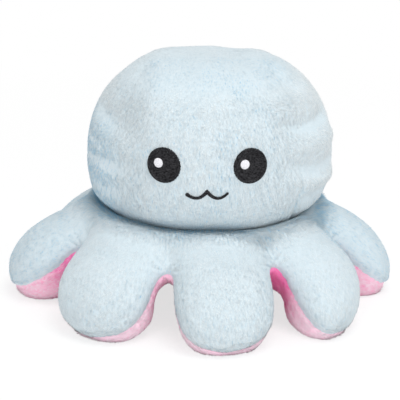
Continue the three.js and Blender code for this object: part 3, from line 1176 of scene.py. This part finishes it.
def headShade(points, seam):
    x, y, z = points.T
    edge = 137 + 2 * np.sin((x + 30) / 11) + 2 * noise(points * (1, 0, 0.4), 14, 51)
    front = smooth((44 - np.abs(x - 9)) / 8) * smooth(-(y + 3) / 9)
    parts = {
        "crown": smooth((z - edge) / 6) * front,
        "patches": noise(points * (1, 1, 0.6), 26, 61),
        # painted shade on the left, painted light on the right, painted sheen high on the side panels and
        # painted light low on the head
        "left": smooth((-x - 42) / 12) * smooth((128 - z) / 10),
        "right": smooth((x - 50) / 10) * smooth((z - 72) / 12),
        "goreSheen": smooth((np.abs(x - 5) - 48) / 8) * smooth((z - 105) / 20),
        "chinLight": smooth(1 - (z - 60) / 9),
    }
    shade = nearness(points, seam, headValues["seamReach"]) * seamShows(points)
    for name, part in parts.items():
        shade = shade + part * headShades[name]
    return shade


# And of the skirt, mostly painted shade and painted light. Its neck is the line where the head lies on it.
skirtShades = {
    # painted shade under the head, where it lies on the skirt, less at the right and spread wider at the left
    "neck": 1.5,
    "neckRight": 0.6,    # share by which that is less at the right
    "besideNeck": 0.7,   # further out, at the left
    # painted shade in the valleys between the tentacles
    "valleys": 0.35,
    # painted shade on the tentacles at the left and right sides
    "sides": 0.7,
    "pink": 0.25,
    # painted light on the pink tips of the three tentacles in front
    "pinkTips": -0.65,   # of the three tentacles in front
    # painted shade in the pink round the notches
    "notches": [1.9, 0.8, 0.4, 0.4, 0.4, 0.4, 1.2, 0.1],    # pink, round the notch after each tentacle
    "notchReach": 42,
}


def skirtShade(points):
    x, y, _ = points.T
    out, across, number = sectorPlace(x, y)
    neck = np.hypot(x - headSize["offset"], y)
    # Painted shade: under the head, beside it at the left, in the valleys and on the side tentacles.
    right = 1 - skirtShades["neckRight"] * smooth((x - 15) / 25)
    under = skirtShades["neck"] * smooth(1 - (neck - 65) / 13) * right
    beside = skirtShades["besideNeck"] * smooth(1 - (neck - 67) / 16) * smooth((-x - 25) / 30)
    valleys = skirtShades["valleys"] * valleyAt(out, across, skirtSize["crease"] + 6)
    blue = np.maximum(np.maximum(under, beside), valleys)
    blue += skirtShades["sides"] * smooth((np.abs(x) - 60) / 20) * smooth((y + 62) / 20)
    inFront = np.isin(number, (0, 1, 7))
    # Painted light on the pink tips in front, and painted shade round the notches.
    pink = skirtShades["pink"] + skirtShades["pinkTips"] * smooth((out - 80) / 10) * inFront
    for k, deep in enumerate(skirtShades["notches"]):
        distance = np.linalg.norm(points - notchPlace(k, 36), axis=1)
        pink += deep * smooth(1 - distance / skirtShades["notchReach"])
    return blue, pink


# Even places on the faces, with the way out of the cloth and the shade there.
def scattered(rng, points, faces, normals, shade, density):
    triangles = np.array([(f[0], f[i], f[i + 1]) for f in faces for i in range(1, len(f) - 1)])
    a, b, c = (points[triangles[:, i]] for i in range(3))
    area = np.linalg.norm(np.cross(b - a, c - a), axis=1) / 2
    count = int(area.sum() * density)
    place = (np.arange(count) + rng.uniform(size=count)) * area.sum() / count
    corners = triangles[np.minimum(np.searchsorted(np.cumsum(area), place), len(area) - 1)]
    u, v = rng.uniform(size=(2, count))
    u, v = np.where(u + v > 1, 1 - u, u), np.where(u + v > 1, 1 - v, v)
    weights = np.stack([1 - u - v, u, v], axis=1)[:, :, None]
    foot = (points[corners] * weights).sum(1)
    out = (normals[corners] * weights).sum(1)
    out /= np.linalg.norm(out, axis=1)[:, None]
    return foot, out, (shade[corners] * weights[:, :, 0]).sum(1)


# A thin spike on every four corners: three at its foot, and its tip.
def spikeMesh(name, corners, normals, tone, materials):
    count = len(tone)
    spike = np.array([(0, 2, 1), (0, 1, 3), (1, 2, 3), (2, 0, 3)])
    triangles = (np.arange(count)[:, None, None] * 4 + spike).reshape(-1, 3)
    mesh = bpy.data.meshes.new(name)
    mesh.vertices.add(len(corners))
    mesh.vertices.foreach_set("co", (corners * mm).ravel())
    mesh.loops.add(len(triangles) * 3)
    mesh.loops.foreach_set("vertex_index", triangles.ravel())
    mesh.polygons.add(len(triangles))
    mesh.polygons.foreach_set("loop_start", np.arange(len(triangles)) * 3)
    mesh.polygons.foreach_set("material_index", np.repeat(tone, 4).astype(np.int32))
    mesh.polygons.foreach_set("use_smooth", np.ones(len(triangles), bool))
    mesh.update(calc_edges=True)
    for material in materials:
        mesh.materials.append(material)
    mesh.normals_split_custom_set_from_vertices(normals.tolist())
    obj = bpy.data.objects.new(name, mesh)
    scene.collection.objects.link(obj)
    return obj


# Short tufts, each a thin spike that leans with the lay.
def pile(name, points, faces, normals, kind, colour, seed, shade, bare=None):
    values = pileValues
    rng = np.random.default_rng(seed)
    foot, out, dark = scattered(rng, points, faces, normals, shade, values["density"][colour])
    if bare is not None:
        keep = ~bare(foot)
        foot, out, dark = foot[keep], out[keep], dark[keep]
    count = len(foot)
    gaps = parted(foot, kind)
    clump = noise(combed(foot, kind), 1.7, 11, 9)
    flat = flattened(foot, kind, colour)
    ruffle = clump * ruffled(foot, kind) * (1 - np.clip(flat, 0, 1))
    standing = atNeck(foot, kind, colour)
    lean = values["lean"] + values["flatLean"] * flat + values["ruffledLean"] * ruffle
    lean = lean + values["neckLean"] * standing + rng.normal(0, 0.05, count)
    lay = pileLay(foot, out, kind) + rng.normal(0, 0.1, (count, 3))
    lay -= out * (lay * out).sum(1)[:, None]
    lay /= np.linalg.norm(lay, axis=1)[:, None]
    axis = out * np.cos(lean)[:, None] + lay * np.sin(lean)[:, None]
    length = 1 + values["gapLength"] * gaps + values["neckLength"] * standing
    length = values["length"] * (length + rng.normal(0, 0.1, count))
    raised = values["raisedPink"] if colour == "pink" else values["raisedNeck"] * standing[:, None]
    foot = foot - out * (values["rooted"] - raised)
    across = np.cross(axis, out)
    across /= np.linalg.norm(across, axis=1)[:, None]
    upper = np.cross(across, axis)
    half = values["width"] / 2 * rng.uniform(0.75, 1.25, count)[:, None]
    tip = foot + axis * length[:, None]
    tip[:, 2] = np.maximum(tip[:, 2], 0)
    corners = np.stack([foot + across * half, foot - across * half, foot + upper * half * 0.9, tip], axis=1)
    # The tone follows painted shade: the shade passed in and a deeper tone in the partings. Clumps vary it at
    # random.
    level = dark + values["gapTone"] * gaps + values["clumpTone"] * clump + rng.normal(0, 0.2, count)
    tones = blueTones if colour == "blue" else pinkTones
    tone = np.clip((level - values["palest"]) / values["toneStep"], 0, len(tones) - 1).astype(int)
    turned = np.repeat(out, 4, axis=0) + np.stack([across, -across, upper, axis], 1).reshape(-1, 3) * 0.12
    turned /= np.linalg.norm(turned, axis=1)[:, None]
    return spikeMesh(name, corners.reshape(-1, 3), turned, tone, tones)


# Face

faceValues = {
    "centre": 4.1,
    "eyeSpread": 24.8,       # from the centre to an eye's middle
    "eyeHeight": 101.5,
    "eyeRadius": 10.2,
    "rimWidth": 1.9,
    "rimHeight": 1.6,
    "fillHeight": 0.5,
    "glintRadius": 2.7,
    "glintSide": 3.1,
    "glintRaise": 1.2,
    "mouthHalf": 12.3,
    "mouthPeak": 87.6,
    "mouthLow": 83.4,
    "mouthEnds": (86, 86.8),
    "mouthWidth": 2.3,
    "mouthDepth": 0.9,
    "stitch": 0.55,          # from one stitch to the next
    "rowStitch": 3.4,        # length of the filling stitches
    "glintStitch": 0.5,
    "edgeDepth": 0.5,        # how far an eye's edge reaches into the cloth
    "room": 0.2,             # how far the pile laps over an eye's edge
    "mouthRoom": 1.25,       # and how far it stays from the mouth's line
}


# A way to lay points of the face's plane on the head's front.
def frontOfHead(points, faces):
    surface = BVHTree.FromPolygons(points.tolist(), [list(f) for f in faces])
    normals = facing(points, faces)
    tree = treeOf(points)

    def lay(x, z, lift):
        spot = surface.ray_cast(Vector((x, -200, z)), Vector((0, 1, 0)))[0]
        around = [normals[i] for _, i, _ in tree.find_n(spot, 8)]
        out = Vector(np.mean(around, axis=0)).normalized()
        return spot + out * lift

    return lay


# A round patch of embroidery. Its height is a function of the distance and the angle.
def stitchedDisc(name, lay, x, z, radius, height, rings, columns, material):
    points, faces = [list(lay(x, z, height(0, 0)))], []
    squeeze = math.cos(math.asin((x - headSize["offset"]) / headSize["radius"]))
    for i in range(1, rings + 1):
        for j in range(columns):
            turn = 2 * math.pi * j / columns
            ragged = 0.014 * math.sin(turn * 31) + 0.012 * math.sin(turn * 47 + 1)
            reach = radius * i / rings * (1 + ragged * (i / rings) ** 4)
            side, up = reach * math.cos(turn) * squeeze, reach * math.sin(turn)
            points.append(list(lay(x + side, z + up, height(reach / radius, turn))))
    for j in range(columns):
        turn = 2 * math.pi * j / columns
        side, up = radius * 0.995 * math.cos(turn) * squeeze, radius * 0.995 * math.sin(turn)
        points.append(list(lay(x + side, z + up, -faceValues["edgeDepth"])))
    for j in range(columns):
        faces.append((0, 1 + j, 1 + (j + 1) % columns))
    for i in range(rings):
        for j in range(columns):
            a, b = 1 + i * columns + j, 1 + i * columns + (j + 1) % columns
            faces.append((a, a + columns, b + columns, b))
    faces.append(tuple(1 + rings * columns + j for j in reversed(range(columns))))
    obj = newObject(name, np.array(points), faces)
    smoothShaded(obj)
    obj.data.materials.append(material)
    return obj


# Rows of filling stitches inside a raised rim of stitches laid across it.
def eyeHeight(radius):
    stitch = faceValues["stitch"]
    inner = 1 - faceValues["rimWidth"] / radius

    def height(share, turn):
        across = radius * share * math.sin(turn)
        along = radius * share * math.cos(turn)
        row = abs(math.sin(math.pi * across / stitch))
        ends = abs(math.sin(math.pi * (along / faceValues["rowStitch"] + 0.5 * math.floor(across / stitch))))
        fill = faceValues["fillHeight"] * (0.72 + 0.22 * row + 0.06 * ends)
        past = (share - inner) / (1 - inner)
        if past <= 0:
            return fill
        hump = math.sqrt(max(0, 1 - (2 * past - 1) ** 2))
        threads = abs(math.sin(math.pi * turn * radius / stitch))
        rim = faceValues["rimHeight"] * hump * (0.86 + 0.14 * threads)
        return max(fill * (1 - past), rim) + 0.15 * (1 - past)

    return height


# A plump disc of upright stitches, which stands on the eye's filling.
def glintHeight(share, turn):
    along = share * faceValues["glintRadius"] * math.cos(turn)
    threads = abs(math.sin(math.pi * along / faceValues["glintStitch"]))
    return 0.75 + 0.75 * math.sqrt(max(0, 1 - share * share)) * (0.85 + 0.15 * threads)


# Height of the mouth's line: a peak in the middle, two low places and two raised ends.
def mouthHeightAt(share):
    out = abs(share)
    if out < 0.5:
        return lerp(faceValues["mouthPeak"], faceValues["mouthLow"], math.sin(math.pi * out) ** 0.85)
    return lerp(faceValues["mouthLow"], faceValues["mouthEnds"][int(share > 0)], (2 * out - 1) ** 2)


# Satin stitches laid across the line of the mouth.
def mouthCord(name, lay):
    steps, around = 200, 9
    shares = np.linspace(-1, 1, steps + 1)
    line = np.array([(faceValues["centre"] + faceValues["mouthHalf"] * s, mouthHeightAt(s)) for s in shares])
    travelled = np.concatenate([[0], np.cumsum(np.linalg.norm(np.diff(line, axis=0), axis=1))])
    points, faces = [], []
    for i in range(steps + 1):
        before, after = line[max(0, i - 1)], line[min(steps, i + 1)]
        way = (after - before) / np.linalg.norm(after - before)
        side = np.array([-way[1], way[0]])
        end = min(1, min(travelled[i], travelled[-1] - travelled[i]) / 0.9)
        thin = 1 - 0.2 * math.sin(math.pi * abs(shares[i])) - 0.3 * float(smooth((shares[i] - 0.5) * 2))
        jagged = 1 + 0.12 * math.sin(travelled[i] * 9) * math.sin(travelled[i] * 3.7)
        half = faceValues["mouthWidth"] / 2 * math.sqrt(max(0.02, end * (2 - end))) * thin * jagged
        threads = 0.85 + 0.15 * abs(math.sin(math.pi * travelled[i] / faceValues["stitch"]))
        for j in range(around):
            turn = math.pi * j / (around - 1)
            x, z = line[i] + side * half * math.cos(turn)
            lift = faceValues["mouthDepth"] * math.sin(turn) * threads * min(1, half / 0.6) + 0.25
            points.append(list(lay(x, z, lift)))
        points.append(list(lay(*line[i], -0.4)))
    row = around + 1
    for i in range(steps):
        for j in range(row):
            a, b = i * row + j, i * row + (j + 1) % row
            faces.append((a, b, b + row, a + row))
    faces.append(tuple(reversed(range(row))))
    faces.append(tuple(steps * row + j for j in range(row)))
    obj = newObject(name, np.array(points), faces)
    smoothShaded(obj)
    obj.data.materials.append(blackThread)
    return obj


# Where the embroidery leaves no room for pile.
def nearFace(points):
    x, y, z = points.T
    bare = np.zeros(len(points), bool)
    for way in (-1, 1):
        side = (x - faceValues["centre"] - way * faceValues["eyeSpread"]) / 0.95
        bare |= np.hypot(side, z - faceValues["eyeHeight"]) < faceValues["eyeRadius"] - faceValues["room"]
    for s in np.linspace(-1, 1, 60):
        spot = (faceValues["centre"] + faceValues["mouthHalf"] * s, mouthHeightAt(s))
        bare |= np.hypot(x - spot[0], z - spot[1] - 0.6) < faceValues["mouthRoom"]
    return bare & (y < 0)


# Putting the pieces in place

bendValues = {"start": 2, "end": 22, "height": 58.7}    # past a tentacle's root, and the hinge's height


# Puts the piece on the body. A tentacle's piece is not put on a body: its placement is only baked into its
# points, and the bend's start and end past its root are worked out but not used.
def attach(obj, node):
    if node.startswith("tentacle"):
        number = int(node.split("_")[1])
        root, height = skirtSize["root"], bendValues["height"]
        start = tentaclePlace(number - 1, root + bendValues["start"], 0, height) * mm
        end = tentaclePlace(number - 1, root + bendValues["end"], 0, height) * mm
        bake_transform(obj)
    else:
        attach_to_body(obj, "body")


# How the painted shade of a pink face picks its tone. The speckle varies it at random.
clothTones = {"start": -0.3, "step": 0.45, "speckle": 0.25, "hidden": 1}


# Paints shade on pink cloth: four tones, by the painted shade of each face. What no one sees has one tone.
def paintPinkShade(piece, points, faces, shade):
    tone = np.full(len(piece.data.polygons), clothTones["hidden"], np.int32)
    if shade is not None:
        level = np.array([shade[list(f)].mean() for f in faces])
        level = level + clothTones["speckle"] * noise(middles(points, faces), 3, 71)
        level = (level - clothTones["start"]) / clothTones["step"]
        tone[:len(faces)] = np.clip(level, 0, len(pinkCloths) - 1)
    for material in pinkCloths:
        piece.data.materials.append(material)
    piece.data.polygons.foreach_set("material_index", tone)


# A piece of cloth with its pile, in place of a CAD node.
def dress(node, points, faces, normals, kind, colour, seed, shade=None, bare=None, tufted=True):
    piece = clothPiece(f"{node}_cloth", points, faces, normals, clothThickness)
    if colour == "pink":
        paintPinkShade(piece, points, faces, shade)
    else:
        piece.data.materials.append(blueCloth)
    attach(piece, node)
    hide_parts(node)
    if not tufted:
        return
    tufts = pile(f"{node}_pile", points, faces, normals, kind, colour, seed, shade, bare)
    attach(tufts, node)


# Dresses the ring and the tentacles, and gives back the surface that holds their filling.
def addSkirt():
    points, faces, label = buildSkirt()
    normals = facing(points, faces)
    nodes = {labels["ringTop"]: ("skirt_top_ring", "blue"), labels["ringUnder"]: ("skirt_under_ring", "pink")}
    for k in range(skirtSize["count"]):
        nodes[labels["top"] + k] = (f"tentacle_{k + 1}_top", "blue")
        nodes[labels["sole"] + k] = (f"tentacle_{k + 1}_sole", "pink")
    shades = dict(zip(("blue", "pink"), skirtShade(points)))
    for seed, (mark, (node, colour)) in enumerate(nodes.items()):
        some = chosenFaces(faces, label, mark)
        dress(node, points, some, normals, "skirt", colour, 100 + seed, shades[colour])
    say("skirt dressed")
    outer = [list(f) for f, mark in zip(faces, label) if mark != labels["wall"]]
    return BVHTree.FromPolygons(points.tolist(), outer)


# Dresses the head's four panels and its face, and gives back the surface that holds its filling.
def addHead():
    points, faces, label = buildHead()
    normals = facing(points, faces)
    seam = points[seamPoints(points, faces, label, anySeam)]
    shade = headShade(points, seam)
    for side, mark in sides.items():
        some = chosenFaces(faces, label, mark)
        bare = nearFace if side == "front" else None
        dress(f"head_{side}_panel", points, some, normals, "head", "blue", 200 + mark, shade, bare)
    addFace(frontOfHead(points, faces))
    say("head dressed")
    outer = [list(f) for f, mark in zip(faces, label) if mark]
    return BVHTree.FromPolygons(points.tolist(), outer)


def addFace(lay):
    radius, height = faceValues["eyeRadius"], faceValues["eyeHeight"]
    for way, node in ((-1, "eye_left"), (1, "eye_right")):
        x = faceValues["centre"] + way * faceValues["eyeSpread"]
        name = f"{node}_embroidery"
        eye = stitchedDisc(name, lay, x, height, radius, eyeHeight(radius), 44, 220, blackThread)
        attach(eye, node)
        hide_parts(node)
        x -= faceValues["glintSide"]
        z = height + faceValues["glintRaise"]
        name = f"{node}_glint_embroidery"
        glint = stitchedDisc(name, lay, x, z, faceValues["glintRadius"], glintHeight, 16, 64, whiteThread)
        attach(glint, node)
        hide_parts(f"{node}_glint")
    mouth = mouthCord("mouth_embroidery", lay)
    attach(mouth, "mouth")
    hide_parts("mouth")


# Lines the pocket with plain plush. Its faces look inwards, towards the fingers.
def addPocket():
    points, faces, label = buildPocket()
    normals = facing(points, faces)
    for side, mark in sides.items():
        some = [tuple(reversed(f)) for f in chosenFaces(faces, label, mark)]
        dress(f"pocket_{side}_panel", points, some, -normals, "head", "pink", 300 + mark, tufted=False)
    say("pocket dressed")


# Filling

fillingValues = {
    "voxel": 2.6,
    "lumps": 0.7,        # large and small lumps, and how far all of it is drawn in
    "fluff": 0.35,
    "inset": 1,
    "clearance": 2.2,    # of the filling under the face of the cloth
    "reach": 14,         # further from the cover than this the filling belongs somewhere else
}


# Moves points that are too near the cover, or outside it, to the inside.
def tuckedIn(points, cover):
    clearance, reach = fillingValues["clearance"], fillingValues["reach"]
    moved = points.copy()
    for i, p in enumerate(points):
        spot, normal, _, distance = cover.find_nearest(p)
        depth = (spot - Vector(p)).dot(normal)
        if depth < clearance and distance < reach:
            moved[i] = spot - normal * clearance
    return moved


# Loose fibre: the CAD node's own shape with lumps, kept inside its cover.
def addFilling(node, cover):
    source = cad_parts[node]
    points = meshPoints(source.data)
    faces = [tuple(f.vertices) for f in source.data.polygons]
    points, faces = remeshed(points, faces, fillingValues["voxel"])
    points = relaxed(points, edgesOf(faces), 3)
    lumps = noise(points, 13, 41) * fillingValues["lumps"] + noise(points, 6, 42) * fillingValues["fluff"]
    lumps = lumps + fillingValues["inset"]
    points = points - facing(points, faces) * np.maximum(lumps, 0)[:, None]
    if node != "head_stuffing":
        points = leaning(points)
    for _ in range(3):
        points = tuckedIn(points, cover)
        points = relaxed(points, edgesOf(faces), 1)
    points = tuckedIn(points, cover)
    piece = newObject(f"{node}_fibre", points, faces)
    smoothShaded(piece)
    piece.data.materials.append(filling)
    attach(piece, node)
    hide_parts(node)


def addFillings(inSkirt, inHead):
    addFilling("head_stuffing", inHead)
    addFilling("skirt_ring_stuffing", inSkirt)
    for k in range(skirtSize["count"]):
        addFilling(f"tentacle_{k + 1}_stuffing", inSkirt)
    say("filling made")


# Studio

studio = {
    "distance": 1.3,         # metres
    "elevation": math.radians(20),
    "lens": 187.2,
    "floorDown": 90 / 400,   # how far the floor's middle is under the picture's, in pictures
    "lampAim": 0.06,         # height at which both lamps point
    "lampWidth": 0.9,
    "keyPlace": (0.3, -0.5, 1.6),
    "keyPower": 10.5,
    "fillPlace": (0.1, -1.5, 0.45),
    "fillPower": 5,
    "sky": 0.74,
    "floorHalf": 3000,       # millimetres
    "floorGlow": 0.7,        # share of plain white in what the camera sees of the paper
    "paperFade": (0.2, 0.6), # metres from the toy between which the paper fades to plain white
}


def addCamera():
    data = bpy.data.cameras.new("camera")
    camera = bpy.data.objects.new("camera", data)
    scene.collection.objects.link(camera)
    back = studio["distance"] * math.cos(studio["elevation"])
    camera.location = (0, -back, studio["distance"] * math.sin(studio["elevation"]))
    camera.rotation_euler = (Vector((0, 0, 0)) - camera.location).to_track_quat("-Z", "Y").to_euler()
    data.sensor_width = 36
    data.lens = studio["lens"]
    data.shift_y = studio["floorDown"]
    data.clip_end = 50
    scene.camera = camera


def addLight(name, place, power):
    data = bpy.data.lights.new(name, "AREA")
    data.shape = "DISK"
    data.size = studio["lampWidth"]
    data.energy = power
    light = bpy.data.objects.new(name, data)
    scene.collection.objects.link(light)
    light.location = place
    aim = Vector((0, 0, studio["lampAim"])) - light.location
    light.rotation_euler = aim.to_track_quat("-Z", "Y").to_euler()


# White paper. The camera sees it partly as plain white, and wholly so further from the toy.
def addFloor():
    half = studio["floorHalf"]
    corners = [(-half, -half, 0), (half, -half, 0), (half, half, 0), (-half, half, 0)]
    floor = newObject("floor", corners, [(0, 1, 2, 3)])
    material, main, nodes, links = shader("white paper", (250, 250, 250), 1)
    grain = noiseNode(nodes, links, 900, 2)
    mixedColours(nodes, links, main, grain, (250, 250, 250), (255, 255, 255))
    seen = nodes.new("ShaderNodeLightPath")
    share = nodes.new("ShaderNodeMath")
    share.operation = "MULTIPLY"
    place = nodes.new("ShaderNodeTexCoord")
    away = nodes.new("ShaderNodeVectorMath")
    away.operation = "LENGTH"
    fading = nodes.new("ShaderNodeMapRange")
    for number, value in enumerate((*studio["paperFade"], studio["floorGlow"], 1)):
        fading.inputs[number + 1].default_value = value
    links.new(place.outputs["Object"], away.inputs[0])
    links.new(away.outputs["Value"], fading.inputs[0])
    links.new(fading.outputs[0], share.inputs[1])
    plain = nodes.new("ShaderNodeEmission")
    plain.inputs["Color"].default_value = (1, 1, 1, 1)
    both = nodes.new("ShaderNodeMixShader")
    links.new(seen.outputs["Is Camera Ray"], share.inputs[0])
    links.new(share.outputs[0], both.inputs[0])
    links.new(main.outputs[0], both.inputs[1])
    links.new(plain.outputs[0], both.inputs[2])
    links.new(both.outputs[0], nodes["Material Output"].inputs["Surface"])
    floor.data.materials.append(material)


# A plain white sky that lights the toy less than it shows behind it.
def addWorld():
    world = bpy.data.worlds.new("studio")
    scene.world = world
    world.use_nodes = True
    nodes, links = world.node_tree.nodes, world.node_tree.links
    sky = nodes["Background"]
    sky.inputs["Strength"].default_value = studio["sky"]
    sky.inputs["Color"].default_value = (1, 1, 1, 1)
    white = nodes.new("ShaderNodeBackground")
    white.inputs["Color"].default_value = (1, 1, 1, 1)
    path = nodes.new("ShaderNodeLightPath")
    mix = nodes.new("ShaderNodeMixShader")
    links.new(path.outputs["Is Camera Ray"], mix.inputs[0])
    links.new(sky.outputs[0], mix.inputs[1])
    links.new(white.outputs[0], mix.inputs[2])
    links.new(mix.outputs[0], nodes["World Output"].inputs["Surface"])


def addStudio():
    addFloor()
    addLight("key", studio["keyPlace"], studio["keyPower"])
    addLight("fill", studio["fillPlace"], studio["fillPower"])
    addWorld()
    scene.view_settings.view_transform = "Standard"


skirtCover = addSkirt()
headCover = addHead()
addPocket()
addFillings(skirtCover, headCover)
addCamera()
addStudio()
say("studio set")
